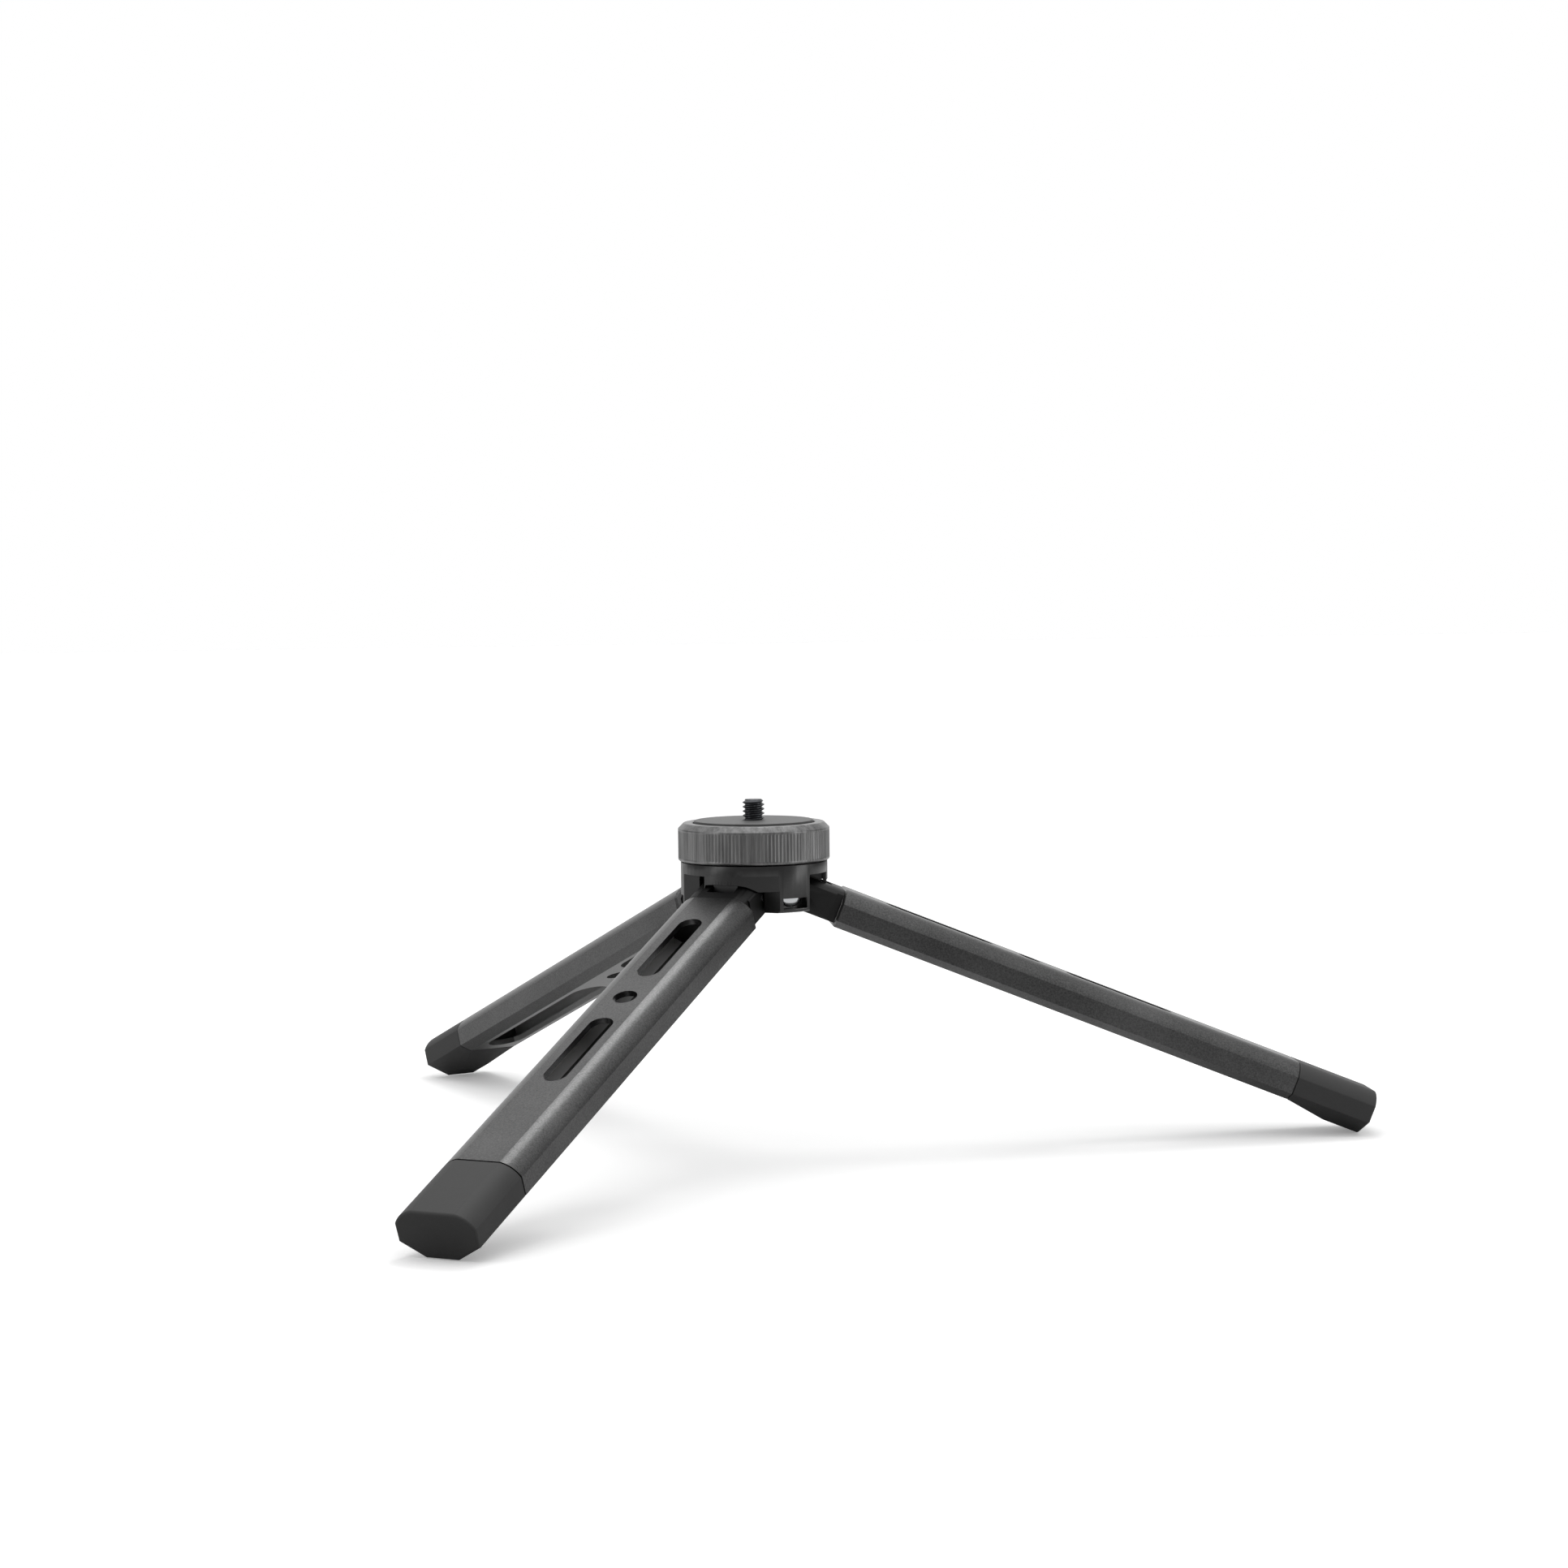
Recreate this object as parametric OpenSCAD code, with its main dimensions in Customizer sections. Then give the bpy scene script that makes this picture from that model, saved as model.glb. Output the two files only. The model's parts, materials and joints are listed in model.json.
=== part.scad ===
// Mini tripod: a knurled turning head on a three-lobed hub, with three folding slotted legs.
// Each leg's block is a fork that swings on a pin through a lug of the hub.
// Millimetres, +Z up, origin at the foot of the camera screw on the top face of the pad.
// Leg 1 points along +X, and the legs are drawn spread, standing on level ground.

/* [Head] */
// Outside diameter of the knurled ring
ring_d = 44; // [40:0.5:52]
// Height of the knurled ring
ring_h = 11; // [9:0.5:16]
// Chamfer round the top edge of the ring
ring_chamfer = 1.6; // [0.5:0.1:2]
// Chamfer round the bottom edge of the ring
ring_foot_chamfer = 0.5; // [0.2:0.1:1]
// Diameter of the raised pad that the camera stands on
pad_d = 34.6; // [28:0.2:36]
// Thickness of the pad
pad_t = 2; // [1.2:0.1:3]
// Height of the pad above the ring round it
pad_proud = 0.6; // [0.2:0.1:1]
// Bevel round the top edge of the pad
pad_bevel = 0.3; // [0.1:0.1:0.5]
// Width of the groove round the pad
pad_groove = 0.5; // [0.2:0.1:1]

/* [Camera screw] */
// Major diameter of the camera screw, 1/4 inch
screw_d = 6.35; // [6.2:0.05:6.5]
// Height of the screw above the pad
screw_h = 6; // [4.5:0.1:8]
// Bevel at the tip of the screw
screw_bevel = 0.8; // [0.4:0.1:1.2]
// Diameter of the screw's shank inside the head
shank_d = 5.6; // [4:0.1:6]
// Depth that the shank goes into the ring below the pad
shank_depth = 6; // [4:0.5:7]

/* [Hub] */
// Diameter of the hub, over its flange and its three lobes
hub_d = 42.6; // [41:0.2:48]
// Thickness of the flange above the leg bays
flange_t = 3.1; // [2.5:0.1:5]
// Height of the lobes below the flange
lobe_h = 10.4; // [9.6:0.1:12]
// Distance from the axis to the flat cheek of the lobes beside each leg
lobe_face = 14.8; // [14.2:0.1:15.4]
// Bevel round the bottom of the lobes
hub_bevel = 0.6; // [0.2:0.1:1]
// Thickness of the hub above the central screw's head
core_h = 8.4; // [7:0.1:10]
// Diameter of the journal that the head turns on
journal_d = 10; // [8:0.5:12]

/* [Hinges] */
// Distance of each hinge pin from the hub's axis
hinge_r = 13.8; // [13.4:0.1:15]
// Depth of the hinge pins below the flange
hinge_drop = 5.85; // [5.7:0.05:7]
// Diameter of the hinge pins
pin_d = 2.6; // [2:0.1:2.8]
// Height of the pins' ends above the forks' sides
pin_proud = 0.2; // [0:0.05:0.4]
// Width of the lug between the cheeks of each fork
lug_w = 7.7; // [6:0.1:9]
// Radius of the lug round its pin
lug_round = 5; // [4:0.1:5.4]
// Height of the lug's lip under the flange, above the fork
lip_h = 2.3; // [1.5:0.1:2.4]
// Leg angle below horizontal when spread
leg_angle = 21.9; // [15:0.1:35]

/* [Central screw] */
// Diameter of the central screw's head under the hub
bolt_head_d = 14; // [12:0.5:15]
// Height of the central screw's head
bolt_head_h = 2.3; // [1.5:0.1:3]
// Bevel round the head
bolt_bevel = 0.5; // [0.2:0.1:0.8]
// Diameter of the central screw's shank
bolt_d = 5; // [3:0.5:6]
// Depth that the shank goes into the journal
bolt_depth = 7; // [5:0.5:10]
// Width across flats of the hexagon socket
socket_w = 4; // [3:0.5:5]
// Depth of the hexagon socket
socket_depth = 1.4; // [1:0.1:1.8]

/* [Lobe screws] */
// Diameter of the domed heads in the lobes
dome_d = 7.6; // [5:0.2:7.8]
// Height of the domed heads
dome_h = 1.7; // [1:0.1:1.8]
// Distance from the axis to the seat of the domed heads
dome_seat = 18.2; // [17.6:0.1:18.6]
// Depth of the domed heads' axes below the flange
dome_drop = 5.2; // [4.6:0.1:5.6]
// Height of the lobe's skirt that covers the upper half of each head
skirt_h = 6.3; // [5.6:0.1:7.5]
// Diameter of the lobe screws' shanks
shaft_d = 3; // [2:0.1:4]
// Depth that the lobe screws go into the lobes
shaft_depth = 5; // [3:0.5:6]

/* [Leg blocks] */
// Width of each hinge block
block_w = 19.4; // [16:0.1:20]
// Thickness of each hinge block
block_t = 10; // [9:0.1:10.4]
// Reach of the block from its pin to the mouth of the tube
block_reach = 11; // [10.5:0.1:20]
// Reach of the stop heel behind the pin
heel_reach = 5.2; // [5.1:0.05:5.3]
// Height of the stop heel's flat
heel_h = 1.9; // [1:0.1:2]
// Gap between the block's own outline and the outside of the tube
block_inset = 0.4; // [0.3:0.1:0.6]
// Distance from the pin to the root of the fork
fork_root = 7.4; // [7:0.1:8.4]
// Length of the narrow neck next to the tube
neck_l = 2; // [1:0.1:3]
// Depth of the neck on each side
neck_in = 0.5; // [0.2:0.1:1]
// Length of the tongue inside the tube
tongue_l = 10; // [5:0.5:12]

/* [Leg tubes] */
// Width of the tube
leg_w = 23.2; // [21.5:0.1:24]
// Thickness of the tube, from its outer flat to its inner flat
leg_t = 11.3; // [11:0.1:12]
// Length of the tube
tube_l = 143.6; // [135:0.2:220]
// Wall of the tube
wall = 1.7; // [1.2:0.1:2]
// Width of the outer flat, between the two creases
flat_w = 12.2; // [10:0.1:13]
// Fall of the rounded shoulder at each side of the flat
shoulder_drop = 4; // [3:0.1:4.5]
// Slope of the shoulder where it leaves the flat
shoulder_slope = 10; // [5:1:20]
// Height of the upright side
side_h = 5.2; // [4:0.1:5.5]
// Slope of the wedge faces on the inner side
wedge_slope = 31; // [25:1:40]
// Depth of the outer flat in front of the hinge pin
flat_to_pin = 5.2; // [5:0.1:5.6]

/* [Leg openings] */
// Width of the slots in the outer flat
slot_w = 7; // [5:0.1:8.5]
// Length of the slots in the outer flat
slot_l = 33.6; // [25:0.2:36]
// Distance from the tube's mouth to the first slot
slot_start = 13.5; // [11:0.5:20]
// Diameter of the round hole between the slots, in both flats
hole_d = 6.8; // [5:0.1:7]
// Web between the hole and each slot
hole_web = 8.3; // [5:0.1:10]
// Width of the windows in the inner flat
window_w = 12.4; // [9:0.1:12.6]
// Length of the first window in the inner flat
window_a_l = 37.4; // [30:0.2:40]
// Length of the second window in the inner flat
window_b_l = 68; // [40:0.5:71]
// Web between the first window and the hole
window_a_web = 5; // [3:0.1:8]
// Web between the hole and the second window
window_b_web = 9.2; // [5:0.1:12]

/* [Foot caps] */
// Length of the foot cap beyond the tube
foot_l = 25; // [20:0.5:30]
// Depth of the foot below the tube's inner flat
foot_drop = 2.1; // [1:0.1:3]
// Length over which the foot deepens
foot_flare = 13.4; // [8:0.1:16]
// Width of the shadow line between tube and foot
joint_gap = 0.3; // [0.2:0.1:0.5]
// Depth of the shadow line
joint_in = 0.5; // [0.2:0.1:0.8]
// Length of the foot's spigot inside the tube
spigot_l = 3; // [2:0.2:3.4]
// Bevel round the foot's end
foot_bevel = 1; // [0.4:0.1:1.5]

/* [Fits] */
// Gap between faces that turn past each other
turn_gap = 0.3; // [0.25:0.05:0.5]
// Gap at each side of a hinge block
block_gap = 0.6; // [0.3:0.05:0.8]
// Radial running clearance on pins and journal
run_fit = 0.05; // [0.02:0.01:0.08]
// Clearance round pieces that are pressed or screwed in
seat_fit = 0.02; // [0.01:0.01:0.04]
// Clearance round the tongue and the spigot inside the tube
slip_fit = 0.1; // [0.05:0.05:0.2]
// Gap at the open stop of each leg
stop_gap = 0.1; // [0.05:0.05:0.2]

/* [Hidden] */
$fn = 64;
leg_count = 3;
leg_pitch = 360 / leg_count;
cut = 1;
reach = 60;

// Heights on the axis, from the pad's top face down
ring_top = -pad_proud;
ring_bottom = ring_top - ring_h;
flange_top = ring_bottom - turn_gap;
flange_bottom = flange_top - flange_t;
skirt_bottom = flange_bottom - skirt_h;
lobe_bottom = flange_bottom - lobe_h;
lip_bottom = flange_bottom - lip_h;
core_bottom = flange_bottom - core_h;
hinge_z = flange_bottom - hinge_drop;
journal_bottom = core_bottom - turn_gap;
bolt_bottom = journal_bottom - bolt_head_h;
dome_z = flange_bottom - dome_drop;

// Distances in the hub
ring_r = ring_d / 2;
pad_r = pad_d / 2;
hub_r = hub_d / 2;
slot_half = block_w / 2 + block_gap;
core_face = hinge_r - heel_reach - stop_gap;
fork_half = lug_w / 2 + turn_gap;
pin_l = block_w + 2 * pin_proud;
pocket_half = dome_d / 2 + turn_gap;
pocket_depth = dome_h + turn_gap;

// The leg's section: l across the leg, n outwards, with n = 0 on the outer flat
half_w = leg_w / 2;
flat_half = flat_w / 2;
chord_x = half_w - flat_half;
chord_slope = atan2(shoulder_drop, chord_x);
shoulder_r = norm([chord_x, shoulder_drop]) / (2 * sin(chord_slope - shoulder_slope));
shoulder_x = flat_half - shoulder_r * sin(shoulder_slope);
shoulder_n = -shoulder_r * cos(shoulder_slope);
side_end = -shoulder_drop - side_h;
block_half = block_t / 2;

// Places along the leg, measured from the hinge pin
tube_start = block_reach;
tube_end = tube_start + tube_l;
foot_end = tube_end + foot_l;
slot_a = tube_start + slot_start;
hole_x = slot_a + slot_l + hole_web + hole_d / 2;
slot_b = hole_x + hole_d / 2 + hole_web;
window_a = hole_x - hole_d / 2 - window_a_web - window_a_l;
window_b = hole_x + hole_d / 2 + window_b_web;

// Half width of the bottom flat of a leg section that is depth deep
function wedge_half(depth) = half_w - (depth + side_end) / tan(wedge_slope);

// Corner of the inset section where its side meets its wedge face
function inset_side_end(inset) = side_end + inset * (1 - sin(wedge_slope)) / cos(wedge_slope);

// Corner of the inset section where its wedge face meets its bottom flat
function inset_wedge_half(inset, depth) =
    wedge_half(depth) - inset * (1 - cos(wedge_slope)) / sin(wedge_slope);

// Where the inset shoulder meets the inset flat and the inset side
function inset_crease(inset) =
    shoulder_x + sqrt(pow(shoulder_r - inset, 2) - pow(shoulder_n + inset, 2));
function inset_shoulder_end(inset) =
    shoulder_n + sqrt(pow(shoulder_r - inset, 2) - pow(half_w - inset - shoulder_x, 2));

module leg_place(i) {
    rotate([0, 0, (i - 1) * leg_pitch])
        translate([hinge_r, 0, hinge_z])
            rotate([0, leg_angle, 0])
                children();
}

module lobe_place(i) {
    rotate([0, 0, (i - 0.5) * leg_pitch])
        children();
}

// The leg's outline, or its parallel inside by inset, down to depth
module leg_section(inset = 0, depth = leg_t) {
    side = half_w - inset;
    side_low = inset_side_end(inset);
    bottom = inset_wedge_half(inset, depth);
    crease = inset_crease(inset);
    shoulder_end = inset_shoulder_end(inset);
    difference() {
        polygon([
            [-side, -inset], [side, -inset], [side, side_low],
            [bottom, inset - depth], [-bottom, inset - depth], [-side, side_low]
        ]);
        for (s = [-1, 1])
            difference() {
                translate([s * (crease + half_w) / 2, shoulder_end / 2])
                    square([half_w - crease, -shoulder_end], center = true);
                translate([s * shoulder_x, shoulder_n])
                    circle(r = shoulder_r - inset);
            }
    }
}

// Runs a leg section from one distance along the leg to another
module along_leg(from, to) {
    translate([from, 0, flat_to_pin])
        rotate([90, 0, 90])
            linear_extrude(to - from)
                children();
}

// A slot with round ends through one wall of the tube
module slot_cut(start, length, width, low, high) {
    r = width / 2;
    translate([start + r, -r, low])
        cube([length - width, width, high - low]);
    for (x = [start + r, start + length - r])
        translate([x, 0, low])
            cylinder(r = r, h = high - low);
}

module knurled_ring() {
    shoulder = pad_r + pad_groove;
    journal_r = journal_d / 2;
    color("#2b2c2e")
        difference() {
            rotate_extrude()
                polygon([
                    [0, journal_bottom], [journal_r, journal_bottom], [journal_r, ring_bottom],
                    [ring_r - ring_foot_chamfer, ring_bottom],
                    [ring_r, ring_bottom + ring_foot_chamfer],
                    [ring_r, ring_top - ring_chamfer], [ring_r - ring_chamfer, ring_top],
                    [shoulder, ring_top], [shoulder, -pad_t], [0, -pad_t]
                ]);
            translate([0, 0, -pad_t - shank_depth])
                cylinder(d = shank_d + 2 * seat_fit, h = shank_depth + cut);
            translate([0, 0, journal_bottom - cut])
                cylinder(d = bolt_d + 2 * seat_fit, h = bolt_depth + cut);
        }
}

module top_pad() {
    hole_r = screw_d / 2 + seat_fit;
    color("#1f2021")
        rotate_extrude()
            polygon([
                [hole_r, -pad_t], [pad_r, -pad_t], [pad_r, -pad_bevel],
                [pad_r - pad_bevel, 0], [hole_r, 0]
            ]);
}

module camera_screw() {
    color("#55585c")
        rotate_extrude()
            polygon([
                [0, -pad_t - shank_depth], [shank_d / 2, -pad_t - shank_depth], [shank_d / 2, 0],
                [screw_d / 2, 0], [screw_d / 2, screw_h - screw_bevel],
                [screw_d / 2 - screw_bevel, screw_h], [0, screw_h]
            ]);
}

module central_screw() {
    head_r = bolt_head_d / 2;
    color("#3a3b3d")
        difference() {
            rotate_extrude()
                polygon([
                    [0, bolt_bottom], [head_r - bolt_bevel, bolt_bottom],
                    [head_r, bolt_bottom + bolt_bevel], [head_r, journal_bottom],
                    [bolt_d / 2, journal_bottom], [bolt_d / 2, journal_bottom + bolt_depth],
                    [0, journal_bottom + bolt_depth]
                ]);
            translate([0, 0, bolt_bottom - cut])
                cylinder(d = socket_w / cos(30), h = socket_depth + cut, $fn = 6);
        }
}

// The hub: a drum with three bays for the forks, a lug left standing in each bay
module hub_body() {
    color("#333436")
        difference() {
            rotate_extrude()
                polygon([
                    [0, lobe_bottom], [hub_r - hub_bevel, lobe_bottom], [hub_r, lobe_bottom + hub_bevel],
                    [hub_r, flange_top], [0, flange_top]
                ]);
            translate([0, 0, core_bottom - cut])
                cylinder(r = journal_d / 2 + run_fit, h = flange_top - core_bottom + 2 * cut);
            translate([0, 0, lobe_bottom - cut])
                cylinder(r = bolt_head_d / 2 + turn_gap, h = core_bottom - lobe_bottom + cut);
            for (i = [1:leg_count]) {
                rotate([0, 0, (i - 1) * leg_pitch])
                    difference() {
                        translate([0, 0, lobe_bottom - cut])
                            linear_extrude(flange_bottom - lobe_bottom + cut)
                                bay_plan();
                        rotate([90, 0, 0])
                            linear_extrude(lug_w, center = true)
                                lug_profile();
                    }
                lobe_place(i)
                    dome_pocket();
            }
        }
}

// Plan of a leg's bay: the slot of its fork, and all that lies outside the lobes' cheeks
module bay_plan() {
    translate([core_face, -slot_half])
        square([reach, 2 * slot_half]);
    translate([lobe_face, -reach / 2])
        square([reach, reach]);
}

// Side view of a lug: round under the pin, with a lip under the flange, and the pin's bore
module lug_profile() {
    back = core_face - cut;
    difference() {
        union() {
            translate([hinge_r, hinge_z])
                circle(r = lug_round);
            translate([back, lobe_bottom - 2 * cut])
                square([hinge_r - back, flange_bottom - lobe_bottom + 3 * cut]);
            translate([back, hinge_z])
                square([hinge_r + lug_round - back, flange_bottom + cut - hinge_z]);
            translate([back, lip_bottom])
                square([reach, lip_h + cut]);
        }
        translate([hinge_r, hinge_z])
            circle(r = pin_d / 2 + run_fit);
    }
}

// Room for a domed head behind the skirt and under it, and the hole of its shank
module dome_pocket() {
    low = dome_z - pocket_half;
    rotate([90, 0, 0])
        linear_extrude(2 * pocket_half, center = true)
            polygon([
                [dome_seat, low], [reach, low], [reach, skirt_bottom],
                [dome_seat + pocket_depth, skirt_bottom],
                [dome_seat + pocket_depth, dome_z + pocket_half], [dome_seat, dome_z + pocket_half]
            ]);
    translate([dome_seat - shaft_depth, 0, dome_z])
        rotate([0, 90, 0])
            cylinder(r = shaft_d / 2 + seat_fit, h = shaft_depth + cut);
}

module hinge_pin(i) {
    color("#b9bcc0")
        rotate([0, 0, (i - 1) * leg_pitch])
            translate([hinge_r, 0, hinge_z])
                rotate([90, 0, 0])
                    cylinder(d = pin_d, h = pin_l, center = true);
}

// A domed head on a plain shank, on the axis of the turning
module lug_screw(i) {
    head_r = dome_d / 2;
    dome_r = (head_r * head_r + dome_h * dome_h) / (2 * dome_h);
    color("#c4c7ca")
        lobe_place(i)
            translate([dome_seat, 0, dome_z])
                rotate([0, 90, 0])
                    rotate_extrude() {
                        intersection() {
                            translate([0, dome_h - dome_r])
                                circle(r = dome_r);
                            square([head_r, dome_h]);
                        }
                        translate([0, -shaft_depth])
                            square([shaft_d / 2, shaft_depth]);
                    }
}

// The fork with its knuckles and stop heels, the block and the tongue inside the tube
module leg_block(i) {
    color("#18191a")
        leg_place(i)
            difference() {
                union() {
                    intersection() {
                        block_blank();
                        along_leg(-reach, tube_start)
                            leg_section(block_inset);
                    }
                    along_leg(tube_start, tube_start + tongue_l)
                        leg_section(wall + slip_fit);
                }
                translate([-reach, -fork_half, -reach])
                    cube([reach + fork_root, 2 * fork_half, 2 * reach]);
                rotate([90, 0, 0])
                    cylinder(r = pin_d / 2 + seat_fit, h = block_w + 2 * cut, center = true);
            }
}

// The block before its edges are shaped to the leg's outline
module block_blank() {
    rotate([90, 0, 0])
        cylinder(r = block_half, h = block_w, center = true);
    rotate([0, -leg_angle, 0])
        rotate([90, 0, 0])
            linear_extrude(block_w, center = true)
                polygon([
                    [0, 0], [-heel_reach, 0], [-heel_reach, heel_h],
                    [-block_half * cos(45), block_half * sin(45)]
                ]);
    translate([0, -block_w / 2, -block_half])
        cube([tube_start - neck_l, block_w, block_t]);
    translate([0, neck_in - block_w / 2, -block_half])
        cube([tube_start, block_w - 2 * neck_in, block_t]);
}

module leg_tube(i) {
    outer_low = flat_to_pin - wall - cut;
    inner_high = flat_to_pin - leg_t + wall + cut;
    color("#5c5e61")
        leg_place(i)
            difference() {
                along_leg(tube_start, tube_end)
                    difference() {
                        leg_section();
                        leg_section(wall);
                    }
                for (x = [slot_a, slot_b])
                    slot_cut(x, slot_l, slot_w, outer_low, flat_to_pin + cut);
                slot_cut(window_a, window_a_l, window_w, flat_to_pin - leg_t - cut, inner_high);
                slot_cut(window_b, window_b_l, window_w, flat_to_pin - leg_t - cut, inner_high);
                translate([hole_x, 0, flat_to_pin - leg_t - cut])
                    cylinder(d = hole_d, h = leg_t + 2 * cut);
            }
}

module foot_cap(i) {
    depth = leg_t + foot_drop;
    flare_slope = atan2(foot_drop, foot_flare);
    color("#232425")
        leg_place(i) {
            difference() {
                along_leg(tube_end + joint_gap, foot_end)
                    leg_section(0, depth);
                translate([tube_end, -reach / 2, flat_to_pin - leg_t])
                    rotate([0, flare_slope, 0])
                        translate([-reach, 0, -reach])
                            cube([2 * reach, reach, reach]);
                foot_end_bevels();
            }
            along_leg(tube_end, tube_end + joint_gap)
                leg_section(joint_in);
            along_leg(tube_end - spigot_l, tube_end)
                leg_section(wall + slip_fit);
        }
}

// Bevels on the foot's end face, along its sides and its outer flat
module foot_end_bevels() {
    start = foot_end - foot_bevel;
    for (s = [-1, 1])
        translate([start, s * half_w, 0])
            rotate([0, 0, s * 45])
                translate([0, -reach / 2, -reach / 2])
                    cube(reach);
    translate([start, 0, flat_to_pin])
        rotate([0, -45, 0])
            translate([0, -reach / 2, -reach / 2])
                cube(reach);
}

hub_body();
knurled_ring();
top_pad();
camera_screw();
central_screw();
hinge_pin(1);  // hinge_pin_1
hinge_pin(2);  // hinge_pin_2
hinge_pin(3);  // hinge_pin_3
lug_screw(1);  // lug_screw_1
lug_screw(2);  // lug_screw_2
lug_screw(3);  // lug_screw_3
leg_block(1);  // leg_block_1
leg_block(2);  // leg_block_2
leg_block(3);  // leg_block_3
leg_tube(1);  // leg_tube_1
leg_tube(2);  // leg_tube_2
leg_tube(3);  // leg_tube_3
foot_cap(1);  // foot_cap_1
foot_cap(2);  // foot_cap_2
foot_cap(3);  // foot_cap_3
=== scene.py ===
import json
import math

import bmesh
import bpy
from mathutils import Matrix, Vector


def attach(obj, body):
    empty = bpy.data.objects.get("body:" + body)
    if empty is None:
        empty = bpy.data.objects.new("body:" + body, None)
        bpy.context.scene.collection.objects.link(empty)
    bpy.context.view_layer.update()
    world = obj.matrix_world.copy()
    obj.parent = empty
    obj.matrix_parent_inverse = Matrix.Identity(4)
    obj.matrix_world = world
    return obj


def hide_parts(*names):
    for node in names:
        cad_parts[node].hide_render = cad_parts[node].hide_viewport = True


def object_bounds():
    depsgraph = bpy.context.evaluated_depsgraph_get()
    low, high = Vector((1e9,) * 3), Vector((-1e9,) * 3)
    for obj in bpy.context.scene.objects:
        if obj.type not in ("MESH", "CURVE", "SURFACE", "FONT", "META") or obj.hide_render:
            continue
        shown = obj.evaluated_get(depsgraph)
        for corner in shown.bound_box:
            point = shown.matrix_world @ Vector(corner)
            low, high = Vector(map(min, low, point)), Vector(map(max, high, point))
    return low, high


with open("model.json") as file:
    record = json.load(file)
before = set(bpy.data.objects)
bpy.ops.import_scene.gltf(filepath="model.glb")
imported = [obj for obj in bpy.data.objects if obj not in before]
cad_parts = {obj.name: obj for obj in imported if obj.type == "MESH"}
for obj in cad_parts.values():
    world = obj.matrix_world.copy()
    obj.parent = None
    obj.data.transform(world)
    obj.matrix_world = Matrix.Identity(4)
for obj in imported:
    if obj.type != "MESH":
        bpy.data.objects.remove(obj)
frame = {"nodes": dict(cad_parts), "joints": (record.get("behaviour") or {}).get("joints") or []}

cadBounds = [list(corner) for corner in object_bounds()]
cadNodes = frame["nodes"]
cadJoints = {joint["name"]: joint for joint in frame["joints"]}
legNumbers = (1, 2, 3)
print("stage: frame loaded,", len(cadNodes), "CAD nodes")


# small helpers for places and meshes

def metres(*values):
    return tuple(value / 1000 for value in values)


def legMatrix(number):
    # local x runs down the leg from its pin, y across it, z out of its outer flat
    joint = cadJoints[f"leg_{number}_fold"]
    turn = math.radians(120 * (number - 1))
    drop = math.radians(90 - joint["range_deg"][1])
    return (Matrix.Translation(Vector(joint["pos_m"]))
            @ Matrix.Rotation(turn, 4, "Z") @ Matrix.Rotation(drop, 4, "Y"))


def lobeMatrix(number):
    return Matrix.Rotation(math.radians(120 * (number - 0.5)), 4, "Z")


def newPiece(name, verts, faces):
    mesh = bpy.data.meshes.new(name)
    mesh.from_pydata([metres(*v) for v in verts], [], faces)
    bm = bmesh.new()
    bm.from_mesh(mesh)
    bmesh.ops.remove_doubles(bm, verts=bm.verts, dist=1e-7)
    bmesh.ops.recalc_face_normals(bm, faces=bm.faces)
    bm.to_mesh(mesh)
    bm.free()
    piece = bpy.data.objects.new(name, mesh)
    bpy.context.scene.collection.objects.link(piece)
    return piece


def lathe(name, profile, columns, radiusAt=None):
    # profile holds (r, z) from end to end; radiusAt may change r round the turn
    verts = []
    faces = []
    for r, z in profile:
        for column in range(columns):
            angle = 2 * math.pi * column / columns
            radius = radiusAt(r, z, column) if radiusAt else r
            verts.append((radius * math.cos(angle), radius * math.sin(angle), z))
    for row in range(len(profile) - 1):
        for column in range(columns):
            after = (column + 1) % columns
            faces.append((row * columns + column, row * columns + after,
                          (row + 1) * columns + after, (row + 1) * columns + column))
    for row in (0, len(profile) - 1):
        if profile[row][0] > 0:
            faces.append(tuple(row * columns + column for column in range(columns)))
    return newPiece(name, verts, faces)


def loft(name, rings, closed=False):
    # rings are loops of points with the same count; closed joins the last ring to the first
    count = len(rings[0])
    verts = [point for ring in rings for point in ring]
    faces = []
    for row in range(len(rings) if closed else len(rings) - 1):
        following = (row + 1) % len(rings)
        for k in range(count):
            after = (k + 1) % count
            faces.append((row * count + k, row * count + after,
                          following * count + after, following * count + k))
    if not closed:
        faces.append(tuple(range(count)))
        faces.append(tuple((len(rings) - 1) * count + k for k in range(count)))
    return newPiece(name, verts, faces)


def applyModifiers(piece):
    bpy.context.view_layer.update()
    graph = bpy.context.evaluated_depsgraph_get()
    mesh = bpy.data.meshes.new_from_object(piece.evaluated_get(graph))
    piece.modifiers.clear()
    piece.data = mesh


def cutAway(piece, cutters):
    for cutter in cutters:
        tool = piece.modifiers.new("cut", "BOOLEAN")
        tool.operation = "DIFFERENCE"
        tool.solver = "EXACT"
        tool.object = cutter
    applyModifiers(piece)
    for cutter in cutters:
        bpy.data.objects.remove(cutter)


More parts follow.
